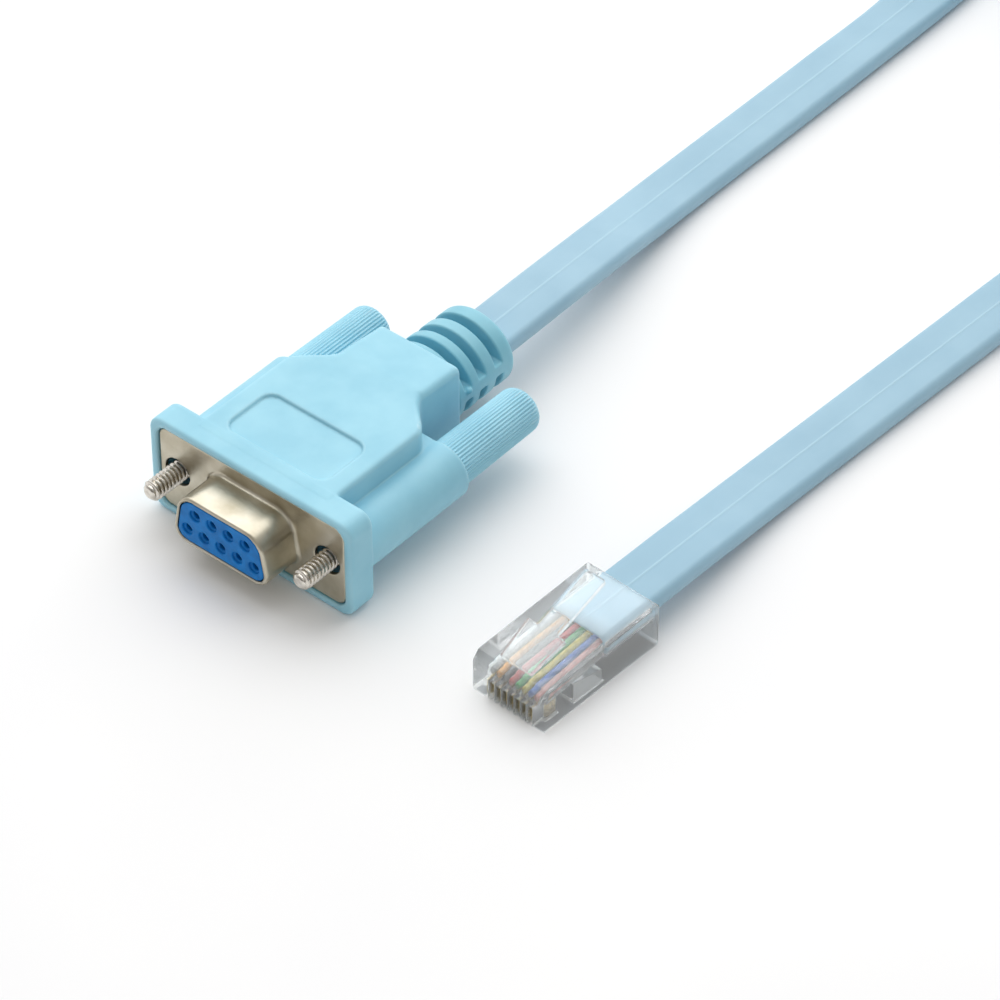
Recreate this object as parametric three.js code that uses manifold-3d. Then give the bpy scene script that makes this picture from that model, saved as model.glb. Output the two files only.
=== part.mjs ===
// Flat serial console cable: a nine-way D connector with thumbscrews at one end, a clear eight-way
// modular plug at the other, and a flat cord between them, with its spare length coiled and tied.
// Millimetres, +Z up. The cable lies on a floor at z = 0. The origin is on that floor, under the
// middle of the nine-way connector. The connector mates towards -Y, and its cord leaves towards +Y.

import * as THREE from 'three';
import { mergeVertices } from 'three/addons/utils/BufferGeometryUtils.js';
import Module from 'manifold-3d';

const wasm = await Module();
wasm.setup();

// Clearances
const fitGap = 0.15; // between pieces that are pressed or moulded together
const turnGap = 0.2; // round a part that turns
const faceGap = 0.3; // between faces that meet end to end
const overrun = 1; // of a cutting shape past the face that it cuts, and of joined shapes into each other

// Facets
const roundSides = 32;
const screwSides = 24;
const contactSides = 12;
const conductorSides = 10;
const shoulderSteps = 8;
const knobRoundingSteps = 4;
const reliefRoundingSteps = 3;
const coilSides = 60;

// Nine-way connector: metal shell and insulator. Lengths along Y start at the plate's front face.
const plateSideMargin = 2.905; // from a screw's axis to the plate's end
const plateHeight = 12.5;
const plateThickness = 0.6;
const plateCorner = 1.6;
const screwSpacing = 24.99;
const plateHoleDiameter = 4.1;
const shroudWidth = 16.3;
const shroudHeight = 7.9;
const shroudWall = 0.5;
const shroudCorner = 2.5;
const shroudReach = 5.9;
const shroudSideTilt = 10; // degrees, the D's sides against the vertical
const insulatorSetback = 0.1; // of its face behind the shroud's rim
const insulatorDepth = 4.0; // behind the plate's front face
const contactPitch = 2.77;
const contactRowSpacing = 2.84;
const contactHoleDiameter = 1.1;
const countersinkDiameter = 1.6;
const countersinkDepth = 0.3;
const contactLipDepth = 1.0; // of the insulator in front of each socket
const contactOuterDiameter = 1.6;
const contactBoreDiameter = 1.0;

// Nine-way connector: hood
const hoodHeight = 14.8;
const flangeSideBorder = 1.4; // of the flange beyond each end of the plate
const flangeDepth = 4.2;
const flangeCorner = 2.0;
const flangeProud = 0.3; // of the front frame before the plate
const blockWidth = 22.4;
const blockLength = 18.9; // from the flange's front to where the sides start to curve in
const shoulderLength = 6.0; // of the curved stretch
const neckWidth = 13.8;
const neckLength = 7.4;
const neckEndHeight = 13.7;
const neckEndWidth = 13.5;
const earDiameter = 8.1;
const earEnd = 22.2;
const labelWidth = 16.4;
const labelLength = 8.6;
const labelCorner = 1.8;
const labelDepth = 0.35;
const labelSetback = 4.5; // from the flange's front to the recess

// Thumbscrews
const knobDiameter = 6.8;
const knobEndDiameter = 6.4;
const knobEndRounding = 1.3;
const knobFront = 12.0;
const knobEnd = 37.6;
const screwDiameter = 2.84;
const screwReach = 5.3; // of the screw's tip before the plate
const screwTipTaper = 0.7;
const screwInKnob = 8.0;
const screwHoleGap = 0.3;

// Strain relief
const reliefWidth = 12.5;
const reliefHeight = 11.2;
const reliefEndWidth = 12.1;
const reliefEnd = 43.65;
const reliefRounding = 0.9;
const reliefRootDepth = 2.6;
const reliefRootWidth = 10.4;
const reliefRootHeight = 8.8;
const slotCount = 3;
const slotWidth = 1.35;
const slotPitch = 3.05;
const firstSlot = 34.25;
const slotFloorHeight = 3.2; // above the axis
const slotSideHeight = 1.3; // above the axis, where a slot stops at the side web

// Flat cord
const cordWidth = 8.4;
const cordThickness = 2.5;
const cordBevelWidth = 0.75; // of the bevels along its edges
const cordEdgeHeight = 1.0; // of the flat between the bevels
const stepsFromHood = 26;
const stepsToPlug = 30;
const plugCordStraight = 5; // of straight cord behind the plug

// Modular plug. Its own frame: x across, y back from the nose, z up from the floor.
const plugX = 41.56;
const plugNose = -0.1; // along Y from the plate's front face
const plugTurn = -2.0; // degrees
const plugWidth = 11.68;
const plugLength = 21.1;
const plugNoseHeight = 4.9;
const plugFrontHeight = 6.15;
const plugRearHeight = 6.6;
const plugNoseSlope = 1.0;
const bladeCount = 8;
const bladePitch = 1.02;
const bladeThickness = 0.3;
const bladeSlotWidth = 0.5;
const bladeLength = 3.2;
const bladeHeight = 2.45;
const bladeSetback = 0.45;
const bladeFloor = 0.45; // height of a blade's lower edge
const conductorDiameter = 0.9;
const conductorFront = 1.4;
const conductorFrontHeight = 3.6;
const jacketEnd = 12.8; // from the nose
const cordHeightInPlug = 4.4;
const cordCavityGap = 0.25;
const latchRoot = 1.5;
const latchThickness = 0.9;
const latchWidth = 6.1;
const latchShoulder = 6.0; // from the latch's root, along the latch
const latchTabWidth = 3.25;
const latchLength = 15.3;
const latchRise = 18; // degrees
const latchRootWidth = 5.0;
const latchPivotGap = 0.1;

// Coil of the spare length
const coilX = 38.0;
const coilY = 200.0; // from the plate's front face
const coilOuterRadius = 47.6;
const coilInnerRadius = 36.8;
const coilLayers = 2; // each as high as the cord is wide
const coilLayerGap = 0.1;
const floorGap = 0.05;
const tieAngle = 250; // degrees round the coil, from +X
const tieWidth = 6.0;
const tieThickness = 0.6;
const tieCorner = 0.9;
const tieInnerCorner = 0.3;
const tieGap = 0.2;
const tieBoreGap = 0.45; // at the coil's bore, which curves towards the tie

// Derived places
const plateWidth = screwSpacing + 2 * plateSideMargin;
const flangeWidth = plateWidth + 2 * flangeSideBorder;
const shellRear = plateThickness;
const flangeFront = -flangeProud;
const flangeRear = flangeFront + flangeDepth;
const shoulderStart = flangeFront + blockLength;
const neckStart = shoulderStart + shoulderLength;
const neckEnd = neckStart + neckLength;
const screwX = screwSpacing / 2;
const axisHeight = hoodHeight / 2;
const frontmost = Math.min(-shroudReach, -screwReach);
const rearmost = Math.max(knobEnd, reliefEnd);
const middle = (frontmost + rearmost) / 2;

const root = new THREE.Group();
const connector = new THREE.Group();
connector.position.set(0, -middle, axisHeight);
const plug = new THREE.Group();
plug.position.set(plugX, plugNose - middle, 0);
plug.rotation.z = THREE.MathUtils.degToRad(plugTurn);
const layout = new THREE.Group();
layout.position.set(0, -middle, 0);
root.add(connector, plug, layout);

const material = (color, roughness, metalness) =>
  new THREE.MeshStandardMaterial({ color, roughness, metalness });
const hoodBlue = material(0xa5d9ea, 0.55, 0);
const reliefBlue = material(0x86c6dc, 0.55, 0);
const cordBlue = material(0xa9d1e8, 0.5, 0);
const insulatorBlue = material(0x1f6fb8, 0.45, 0);
const nickel = material(0xc9c2b4, 0.3, 1);
const steel = material(0xb8b4ae, 0.28, 1);
const gold = material(0xd8b45c, 0.3, 1);
const clearPlastic = material(0xe8eef0, 0.08, 0);
const tieGrey = material(0x3c4046, 0.85, 0);
const wireColours = [0xb4b6b8, 0xe39a2c, 0x3a3a3c, 0xc8332f, 0x3fa65a, 0xd9c93a, 0x2368b8, 0x9a5f4a];

// Adds a named piece to a group
function piece(group, name, geometry, look) {
  const mesh = new THREE.Mesh(geometry, look);
  mesh.name = name;
  group.add(mesh);
  return mesh;
}

// A closed three.js geometry as a solid for cutting and joining
function toSolid(geometry) {
  const bare = geometry.clone();
  bare.deleteAttribute('normal');
  bare.deleteAttribute('uv');
  const merged = mergeVertices(bare);
  return new wasm.Manifold(new wasm.Mesh({
    numProp: 3,
    vertProperties: new Float32Array(merged.attributes.position.array),
    triVerts: new Uint32Array(merged.index.array),
  }));
}

function toGeometry(solid) {
  const mesh = solid.getMesh();
  const geometry = new THREE.BufferGeometry();
  geometry.setAttribute('position', new THREE.BufferAttribute(mesh.vertProperties, 3));
  geometry.setIndex(new THREE.BufferAttribute(mesh.triVerts, 1));
  geometry.computeVertexNormals();
  return geometry;
}

function joined(geometries) {
  return geometries.map(toSolid).reduce((all, next) => all.add(next));
}

function cut(solid, geometries) {
  return geometries.map(toSolid).reduce((left, tool) => left.subtract(tool), solid);
}

// A convex outline with every corner rounded. The corners run counter-clockwise.
function roundedOutline(corners, radius, steps = 4) {
  const points = [];
  corners.forEach((corner, i) => {
    const back = corners[(i + corners.length - 1) % corners.length].clone().sub(corner).normalize();
    const ahead = corners[(i + 1) % corners.length].clone().sub(corner).normalize();
    const half = Math.acos(back.dot(ahead)) / 2;
    const centre = back.clone().add(ahead).setLength(radius / Math.sin(half)).add(corner);
    const setback = radius / Math.tan(half);
    const from = back.multiplyScalar(setback).add(corner).sub(centre).angle();
    const to = ahead.multiplyScalar(setback).add(corner).sub(centre).angle();
    const sweep = (to - from + 2 * Math.PI) % (2 * Math.PI);
    for (let k = 0; k <= steps; k += 1) {
      const angle = from + (sweep * k) / steps;
      points.push(new THREE.Vector2(Math.cos(angle), Math.sin(angle)).multiplyScalar(radius).add(centre));
    }
  });
  return new THREE.Shape(points);
}

function rectangle(width, height, radius, x = 0, y = 0) {
  const [w, h] = [width / 2, height / 2];
  const corners = [[-w, -h], [w, -h], [w, h], [-w, h]];
  return roundedOutline(corners.map(([cx, cy]) => new THREE.Vector2(cx + x, cy + y)), radius);
}

// The D outline, wide side down, grown or shrunk on every side by an offset
function dOutline(offset) {
  const tilt = Math.tan(THREE.MathUtils.degToRad(shroudSideTilt));
  const half = shroudHeight / 2 + offset;
  const side = offset * Math.hypot(1, tilt);
  const middleHalfWidth = shroudWidth / 2 - (shroudHeight / 2) * tilt + side;
  const low = middleHalfWidth + half * tilt;
  const high = middleHalfWidth - half * tilt;
  const corners = [[-low, -half], [low, -half], [high, half], [-high, half]];
  return roundedOutline(corners.map(([x, y]) => new THREE.Vector2(x, y)), shroudCorner + offset);
}

const extrude = (shape, depth) => new THREE.ExtrudeGeometry(shape, { depth, bevelEnabled: false });

// Extrudes a section drawn in X and Z from one Y to another
function alongY(shape, from, to) {
  return extrude(shape, to - from).rotateX(Math.PI / 2).translate(0, to, 0);
}

// Extrudes a side view drawn in Y and Z across X, centred
function acrossX(shape, width, x = 0) {
  const turn = new THREE.Matrix4().makeBasis(
    new THREE.Vector3(0, 1, 0), new THREE.Vector3(0, 0, 1), new THREE.Vector3(1, 0, 0));
  return extrude(shape, width).applyMatrix4(turn).translate(x - width / 2, 0, 0);
}

function rod(diameter, from, to, x = 0, z = 0, sides = roundSides) {
  return new THREE.CylinderGeometry(diameter / 2, diameter / 2, to - from, sides)
    .translate(x, (from + to) / 2, z);
}

// A box given by its lowest and highest corners
function block(low, high) {
  const size = high.map((value, i) => value - low[i]);
  const centre = high.map((value, i) => (value + low[i]) / 2);
  return new THREE.BoxGeometry(...size).translate(...centre);
}

const polygon = (points) => new THREE.Shape(points.map(([x, y]) => new THREE.Vector2(x, y)));

// Contact places, seen from the front: four above, five below
const contactPlaces = [4, 5].flatMap((count, row) => Array.from({ length: count }, (_, i) => ({
  x: (i - (count - 1) / 2) * contactPitch,
  z: (row === 0 ? 0.5 : -0.5) * contactRowSpacing,
})));

function frontShell() {
  const plate = alongY(rectangle(plateWidth, plateHeight, plateCorner), 0, shellRear);
  const shroud = alongY(dOutline(0), -shroudReach, shellRear / 2);
  const bore = alongY(dOutline(-shroudWall), -shroudReach - overrun, shellRear + overrun);
  const holes = [-screwX, screwX].map((x) => rod(plateHoleDiameter, -overrun, shellRear + overrun, x));
  return cut(joined([plate, shroud]), [bore, ...holes]);
}

function insulator() {
  const face = insulatorSetback - shroudReach;
  const body = alongY(dOutline(-shroudWall - fitGap), face, insulatorDepth);
  const cavity = contactOuterDiameter + 2 * fitGap;
  const tools = contactPlaces.flatMap(({ x, z }) => [
    rod(contactHoleDiameter, face - overrun, insulatorDepth - overrun, x, z, contactSides),
    rod(countersinkDiameter, face - overrun, face + countersinkDepth, x, z, contactSides),
    rod(cavity, face + contactLipDepth, insulatorDepth + overrun, x, z, contactSides),
  ]);
  return cut(toSolid(body), tools);
}

function socketContact({ x, z }) {
  const front = insulatorSetback - shroudReach + contactLipDepth + fitGap;
  const tube = toSolid(rod(contactOuterDiameter, front, insulatorDepth, x, z, contactSides));
  return cut(tube, [rod(contactBoreDiameter, front - overrun, insulatorDepth + overrun, x, z, contactSides)]);
}

// The hood seen from above: straight sides, curved shoulders, then the neck
function hoodPlan() {
  const [wide, narrow, end] = [blockWidth / 2, neckWidth / 2, neckEndWidth / 2];
  const pull = shoulderLength / 2;
  const plan = new THREE.Shape();
  plan.moveTo(-wide, flangeFront + flangeDepth / 2);
  plan.lineTo(wide, flangeFront + flangeDepth / 2);
  plan.lineTo(wide, shoulderStart);
  plan.bezierCurveTo(wide, shoulderStart + pull, narrow, neckStart - pull, narrow, neckStart);
  plan.lineTo(end, neckEnd);
  plan.lineTo(-end, neckEnd);
  plan.lineTo(-narrow, neckStart);
  plan.bezierCurveTo(-narrow, neckStart - pull, -wide, shoulderStart + pull, -wide, shoulderStart);
  plan.closePath();
  return plan;
}

function hood() {
  const [half, endHalf] = [hoodHeight / 2, neckEndHeight / 2];
  const flange = alongY(rectangle(flangeWidth, hoodHeight, flangeCorner), flangeFront, flangeRear);
  const options = { depth: hoodHeight, bevelEnabled: false, curveSegments: shoulderSteps };
  const plan = new THREE.ExtrudeGeometry(hoodPlan(), options).translate(0, 0, -half);
  const side = polygon([
    [flangeFront, -half], [neckStart, -half], [neckEnd + overrun, -endHalf], [neckEnd + overrun, endHalf],
    [neckStart, half], [flangeFront, half],
  ]);
  const middlePart = toSolid(plan).intersect(toSolid(acrossX(side, blockWidth + 2 * overrun)));
  const ears = [-screwX, screwX].map((x) => rod(earDiameter, flangeRear - overrun, earEnd, x));
  const webs = [-1, 1].map((side) => {
    const ends = [side * neckWidth / 2, side * screwX].sort((a, b) => a - b);
    return block([ends[0], flangeRear - overrun, -earDiameter / 2], [ends[1], earEnd, earDiameter / 2]);
  });
  const body = joined([flange, ...ears, ...webs]).add(middlePart);

  const plateRecess = alongY(
    rectangle(plateWidth + 2 * fitGap, plateHeight + 2 * fitGap, plateCorner + fitGap),
    flangeFront - overrun, shellRear + fitGap);
  const insulatorPocket = alongY(dOutline(-shroudWall), shellRear, insulatorDepth + fitGap);
  const screwHoles = [-screwX, screwX].map(
    (x) => rod(screwDiameter + 2 * screwHoleGap, shellRear, knobFront, x));
  const knobBores = [-screwX, screwX].map(
    (x) => rod(knobDiameter + 2 * turnGap, knobFront - turnGap, knobEnd + overrun, x));
  const labelMiddle = flangeFront + labelSetback + labelLength / 2;
  const label = extrude(rectangle(labelWidth, labelLength, labelCorner, 0, labelMiddle), 2 * labelDepth)
    .translate(0, 0, half - labelDepth);
  const reliefPocket = alongY(
    oval(reliefRootWidth + 2 * fitGap, reliefRootHeight + 2 * fitGap),
    neckEnd - reliefRootDepth - fitGap, neckEnd + overrun);
  return cut(body, [plateRecess, insulatorPocket, ...screwHoles, ...knobBores, label, reliefPocket]);
}

function oval(width, height) {
  const curve = new THREE.EllipseCurve(0, 0, width / 2, height / 2);
  return new THREE.Shape(curve.getPoints(roundSides).slice(0, -1));
}

// A knob is a slightly tapering rod with a rounded end and a blind hole for its screw
function knob(x) {
  const [front, end] = [knobDiameter / 2, knobEndDiameter / 2];
  const profile = [new THREE.Vector2(0, knobFront), new THREE.Vector2(front, knobFront)];
  for (let k = 0; k <= knobRoundingSteps; k += 1) {
    const angle = (k / knobRoundingSteps) * (Math.PI / 2);
    profile.push(new THREE.Vector2(
      end - knobEndRounding * (1 - Math.cos(angle)), knobEnd - knobEndRounding * (1 - Math.sin(angle))));
  }
  profile.push(new THREE.Vector2(0, knobEnd));
  const body = toSolid(new THREE.LatheGeometry(profile, roundSides).translate(x, 0, 0));
  const holeEnd = knobFront + screwInKnob + fitGap;
  const hole = rod(screwDiameter + 2 * fitGap, knobFront - overrun, holeEnd, x, 0, screwSides);
  return cut(body, [hole]);
}

function screw(x) {
  const radius = screwDiameter / 2;
  const tip = -screwReach;
  const profile = [
    [0, tip], [radius - screwTipTaper / 2, tip], [radius, tip + screwTipTaper],
    [radius, knobFront + screwInKnob], [0, knobFront + screwInKnob],
  ];
  const points = profile.map(([r, y]) => new THREE.Vector2(r, y));
  return new THREE.LatheGeometry(points, screwSides).translate(x, 0, 0);
}

// The boot: an oval, slightly tapering sleeve with slots above and below, and a root inside the hood.
// It is turned as a round sleeve as wide as the boot, and then flattened.
function strainRelief() {
  const start = neckEnd + faceGap;
  const profile = [new THREE.Vector2(0, start), new THREE.Vector2(reliefWidth / 2, start)];
  for (let k = 0; k <= reliefRoundingSteps; k += 1) {
    const angle = (k / reliefRoundingSteps) * (Math.PI / 2);
    profile.push(new THREE.Vector2(
      reliefEndWidth / 2 - reliefRounding * (1 - Math.cos(angle)),
      reliefEnd - reliefRounding * (1 - Math.sin(angle))));
  }
  profile.push(new THREE.Vector2(0, reliefEnd));
  const sleeve = new THREE.LatheGeometry(profile, roundSides).scale(1, 1, reliefHeight / reliefWidth);
  const rootSection = oval(reliefRootWidth, reliefRootHeight);
  const rootPart = alongY(rootSection, neckEnd - reliefRootDepth, start + overrun);
  const slots = Array.from({ length: slotCount }, (_, i) => firstSlot + i * slotPitch).flatMap((y) => {
    const [front, rear] = [y - slotWidth / 2, y + slotWidth / 2];
    const coreHalfWidth = reliefWidth / 2 - (reliefHeight / 2 - slotFloorHeight);
    const core = rod(2 * coreHalfWidth, front - overrun, rear + overrun)
      .scale(1, 1, slotFloorHeight / coreHalfWidth);
    return [1, -1].map((sign) => {
      const low = sign > 0 ? slotSideHeight : -reliefHeight;
      const high = sign > 0 ? reliefHeight : -slotSideHeight;
      return toSolid(block([-reliefWidth, front, low], [reliefWidth, rear, high])).subtract(toSolid(core));
    });
  });
  return slots.reduce((left, slot) => left.subtract(slot), joined([sleeve, rootPart]));
}

piece(connector, 'hood', toGeometry(hood()), hoodBlue);
piece(connector, 'strain_relief', toGeometry(strainRelief()), reliefBlue);
piece(connector, 'front_shell', toGeometry(frontShell()), nickel);
piece(connector, 'insulator', toGeometry(insulator()), insulatorBlue);
contactPlaces.forEach((place, i) => {
  piece(connector, `socket_contact_${i + 1}`, toGeometry(socketContact(place)), gold);
});
[['left', -screwX], ['right', screwX]].forEach(([side, x]) => {
  piece(connector, `knob_${side}`, toGeometry(knob(x)), hoodBlue);
  piece(connector, `screw_${side}`, screw(x), steel);
});

// Places across the plug of its blades and wires
const bladePlaces = Array.from({ length: bladeCount }, (_, i) => (i - (bladeCount - 1) / 2) * bladePitch);

function plugTop(y) {
  const share = (y - plugNoseSlope) / (plugLength - plugNoseSlope);
  return plugFrontHeight + share * (plugRearHeight - plugFrontHeight);
}

function plugBody() {
  const side = polygon([
    [0, 0], [plugLength, 0], [plugLength, plugRearHeight],
    [plugNoseSlope, plugFrontHeight], [0, plugNoseHeight],
  ]);
  const [halfCavity, cavity] = [cordWidth / 2 + cordCavityGap, cordThickness / 2 + cordCavityGap];
  const jacketRoom = block(
    [-halfCavity, jacketEnd - faceGap, cordHeightInPlug - cavity],
    [halfCavity, plugLength + overrun, cordHeightInPlug + cavity]);
  const wireRoom = wireSpan();
  const bladeSlots = bladePlaces.map((x) => block(
    [x - bladeSlotWidth / 2, -overrun, -overrun],
    [x + bladeSlotWidth / 2, bladeSetback + bladeLength + fitGap, bladeFloor + bladeHeight + fitGap]));
  return cut(toSolid(acrossX(side, plugWidth)), [jacketRoom, wireRoom, ...bladeSlots]);
}

// The room that the wires lie in, from the jacket to the blades
function wireSpan() {
  const [front, rear] = [conductorFront - fitGap, jacketEnd];
  const halfHeight = conductorDiameter / 2 + fitGap;
  const side = polygon([
    [front, conductorFrontHeight - halfHeight], [rear, cordHeightInPlug - halfHeight],
    [rear, cordHeightInPlug + halfHeight], [front, conductorFrontHeight + halfHeight],
  ]);
  return acrossX(side, bladeCount * bladePitch + fitGap);
}

function conductor(x) {
  const start = new THREE.Vector3(x, conductorFront, conductorFrontHeight);
  const end = new THREE.Vector3(x, jacketEnd - faceGap, cordHeightInPlug);
  const span = end.clone().sub(start);
  const alongRod = new THREE.Vector3(0, 1, 0);
  const turn = new THREE.Quaternion().setFromUnitVectors(alongRod, span.clone().normalize());
  const centre = start.clone().add(end).multiplyScalar(0.5);
  return rod(conductorDiameter, -span.length() / 2, span.length() / 2, 0, 0, conductorSides)
    .applyQuaternion(turn).translate(centre.x, centre.y, centre.z);
}

// The latch lies along its own y axis from its root, and is then tilted up
function latch() {
  const outline = polygon([
    [-latchRootWidth / 2, 0], [latchRootWidth / 2, 0], [latchWidth / 2, latchShoulder],
    [latchTabWidth / 2, latchShoulder], [latchTabWidth / 2, latchLength],
    [-latchTabWidth / 2, latchLength], [-latchTabWidth / 2, latchShoulder], [-latchWidth / 2, latchShoulder],
  ]);
  return extrude(outline, latchThickness)
    .rotateX(THREE.MathUtils.degToRad(latchRise))
    .translate(0, latchRoot, plugTop(latchRoot) + latchPivotGap);
}

piece(plug, 'plug_body', toGeometry(plugBody()), clearPlastic);
piece(plug, 'plug_latch', latch(), clearPlastic);
bladePlaces.forEach((x, i) => {
  const low = [x - bladeThickness / 2, bladeSetback, bladeFloor];
  const high = [x + bladeThickness / 2, bladeSetback + bladeLength, bladeFloor + bladeHeight];
  piece(plug, `plug_contact_${i + 1}`, block(low, high), gold);
});
bladePlaces.forEach((x, i) => {
  piece(plug, `conductor_${i + 1}`, conductor(x), material(wireColours[i], 0.5, 0));
});

// A flat cord along a smooth curve. Each point gives its place and how far the cord is rolled from
// lying flat: 0 is flat on the floor, 90 stands on edge.
class FlatPath extends THREE.CatmullRomCurve3 {
  constructor(points) {
    super(points.map(([x, y, z]) => new THREE.Vector3(x, y, z)), false, 'centripetal');
    this.rolls = points.map((point) => THREE.MathUtils.degToRad(point[3]));
  }

  roll(t) {
    const place = Math.min(t, 1 - 1e-9) * (this.rolls.length - 1);
    const i = Math.floor(place);
    return THREE.MathUtils.lerp(this.rolls[i], this.rolls[i + 1], place - i);
  }

  computeFrenetFrames(segments) {
    const frames = { tangents: [], normals: [], binormals: [] };
    for (let i = 0; i <= segments; i += 1) {
      const t = this.getUtoTmapping(i / segments);
      const tangent = this.getTangent(t);
      const across = new THREE.Vector3(tangent.y, -tangent.x, 0).normalize();
      const normal = across.applyAxisAngle(tangent, this.roll(t));
      frames.tangents.push(tangent);
      frames.normals.push(normal);
      frames.binormals.push(new THREE.Vector3().crossVectors(tangent, normal));
    }
    return frames;
  }
}

// The cord's section: flat faces and rounded edges
function cordSection() {
  const [w, t, edge] = [cordWidth / 2, cordThickness / 2, cordEdgeHeight / 2];
  const face = w - cordBevelWidth;
  return polygon([
    [face, -t], [w, -edge], [w, edge], [face, t], [-face, t], [-w, edge], [-w, -edge], [-face, -t],
  ]);
}

function flatCord(points, steps) {
  const options = { steps, extrudePath: new FlatPath(points), bevelEnabled: false };
  return new THREE.ExtrudeGeometry(cordSection(), options);
}

// A place on the cord's line inside or behind the plug, by its distance from the nose
function plugLine(y) {
  const turn = THREE.MathUtils.degToRad(plugTurn);
  return [plugX - Math.sin(turn) * y, plugNose + Math.cos(turn) * y, cordHeightInPlug, 0];
}

const coilLow = floorGap + tieThickness + tieGap;
const coilHigh = coilLow + coilLayers * cordWidth + (coilLayers - 1) * coilLayerGap;

// Each point: x, y from the plate's front face, height, roll in degrees
const cordFromHood = [
  [0, reliefEnd + faceGap, axisHeight, 0],
  [-0.1, 50, 7.35, 0],
  [-0.5, 57, 6.95, 0],
  [-1.35, 65, 5.9, 0],
  [-2.6, 73, 4.3, 0],
  [-3.85, 81, 2.6, 0],
  [-4.6, 89, 1.65, 0],
  [-4.8, 97, 1.4, 0],
  [-4.8, 110, 1.35, 0],
  [-4.8, 125, 1.4, 0],
  [-4.8, 140, 1.5, 0],
  [-5.0, 152, 2.25, 15],
  [-5.4, 162, 3.4, 40],
  [-5.9, 170, 4.3, 62],
  [-6.4, 177, 4.8, 76],
];
const cordToPlug = [
  [58.9, 154.6, 11.0, 76],
  [55.0, 148.5, 8.9, 62],
  [51.2, 141, 6.4, 42],
  [48.0, 132, 4.0, 20],
  [45.6, 122, 2.2, 5],
  [44.3, 113, 1.45, 0],
  [43.6, 105, 1.3, 0],
  [42.95, 90, 1.3, 0],
  [42.3, 75, 1.3, 0],
  [41.7, 60, 1.35, 0],
  [41.5, 53, 1.5, 0],
  [41.55, 46, 2.0, 0],
  [41.9, 39, 2.9, 0],
  [42.3, 32, 3.9, 0],
  plugLine(plugLength + plugCordStraight),
  plugLine(plugLength),
  plugLine(jacketEnd),
];

function coil() {
  const profile = [
    [coilInnerRadius, coilLow], [coilOuterRadius, coilLow], [coilOuterRadius, coilHigh],
    [coilInnerRadius, coilHigh], [coilInnerRadius, coilLow],
  ];
  return new THREE.LatheGeometry(profile.map(([r, z]) => new THREE.Vector2(r, z)), coilSides)
    .rotateX(Math.PI / 2).translate(coilX, coilY, 0);
}

// A band round the coil's section, drawn across the coil and turned to its place
function tie() {
  const [inner, outer] = [coilInnerRadius - tieBoreGap, coilOuterRadius + tieGap];
  const [low, high] = [coilLow - tieGap, coilHigh + tieGap];
  const size = [outer - inner, high - low];
  const centre = [(outer + inner) / 2, (high + low) / 2];
  const band = rectangle(size[0] + 2 * tieThickness, size[1] + 2 * tieThickness, tieCorner, ...centre);
  band.holes.push(rectangle(size[0], size[1], tieInnerCorner, ...centre));
  return alongY(band, -tieWidth / 2, tieWidth / 2)
    .rotateZ(THREE.MathUtils.degToRad(tieAngle)).translate(coilX, coilY, 0);
}

piece(layout, 'cord_from_hood', flatCord(cordFromHood, stepsFromHood), cordBlue);
piece(layout, 'cord_coil', coil(), cordBlue);
piece(layout, 'cord_to_plug', flatCord(cordToPlug, stepsToPlug), cordBlue);
piece(layout, 'coil_tie', tie(), tieGrey);

export default root;
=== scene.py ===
"""Flat serial console cable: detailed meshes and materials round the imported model.

The shapes are worked out in millimetres. The connector's own place is x across, y back from the
front face of its metal plate, and z up from its axis. The plug's own place is x across, y back
from its nose, and z up from the floor. Meshes are written in metres.
"""
import math

import bmesh
import bpy
import numpy as np
import openvdb
from mathutils import Matrix, Vector


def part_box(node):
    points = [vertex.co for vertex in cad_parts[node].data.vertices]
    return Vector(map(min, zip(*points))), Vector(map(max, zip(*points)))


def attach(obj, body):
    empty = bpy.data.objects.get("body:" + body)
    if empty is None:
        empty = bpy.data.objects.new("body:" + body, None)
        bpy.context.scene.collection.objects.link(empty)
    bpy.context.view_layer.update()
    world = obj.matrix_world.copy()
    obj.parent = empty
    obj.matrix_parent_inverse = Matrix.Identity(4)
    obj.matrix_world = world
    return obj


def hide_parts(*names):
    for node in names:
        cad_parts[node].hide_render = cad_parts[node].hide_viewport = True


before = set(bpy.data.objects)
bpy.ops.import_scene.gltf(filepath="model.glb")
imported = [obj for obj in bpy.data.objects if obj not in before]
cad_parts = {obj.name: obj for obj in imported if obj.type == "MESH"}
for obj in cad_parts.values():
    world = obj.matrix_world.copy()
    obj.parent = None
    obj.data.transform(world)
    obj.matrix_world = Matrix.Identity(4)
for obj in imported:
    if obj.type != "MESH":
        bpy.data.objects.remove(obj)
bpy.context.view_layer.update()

MM = 0.001
CLEARANCE = 0.15  # between pieces that are pressed or moulded together
CUT_EDGE = 0.08  # rounding of cut edges that are hardly seen
BODY = "cable"

# Connector
FLANGE_PROUD = 0.3
FLANGE_REAR = 3.9
FLANGE_CORNER = 2.0
FLANGE_EDGE = 0.5
PLATE_HALF = (15.4, 6.25)
PLATE_CORNER = 1.6
PLATE_THICKNESS = 0.6
PLATE_HOLE = 2.05
SHROUD_HALF = (8.15, 3.95)
SHROUD_TILT = math.radians(10)
SHROUD_CORNER = 2.5
SHROUD_WALL = 0.5
SHROUD_REACH = 5.9
SHROUD_RIM = 0.42
SHROUD_FOOT = 0.5
INSULATOR_FACE = -5.8
INSULATOR_REAR = 4.0
INSULATOR_ROOM = (8.0, 3.6)  # half sizes of the box that holds it
CONTACT_PITCH = 2.77
CONTACT_ROWS = 2.84
CONTACT_HOLE = 0.55
COUNTERSINK = 0.86
COUNTERSINK_DEPTH = 0.35
CONTACT_ROOM = 0.95
CONTACT_LIP = 1.0
BLOCK_HALF = 11.2
BLOCK_REAR = 18.6
NECK_START = 24.6
NECK_HALF = 6.9
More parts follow.
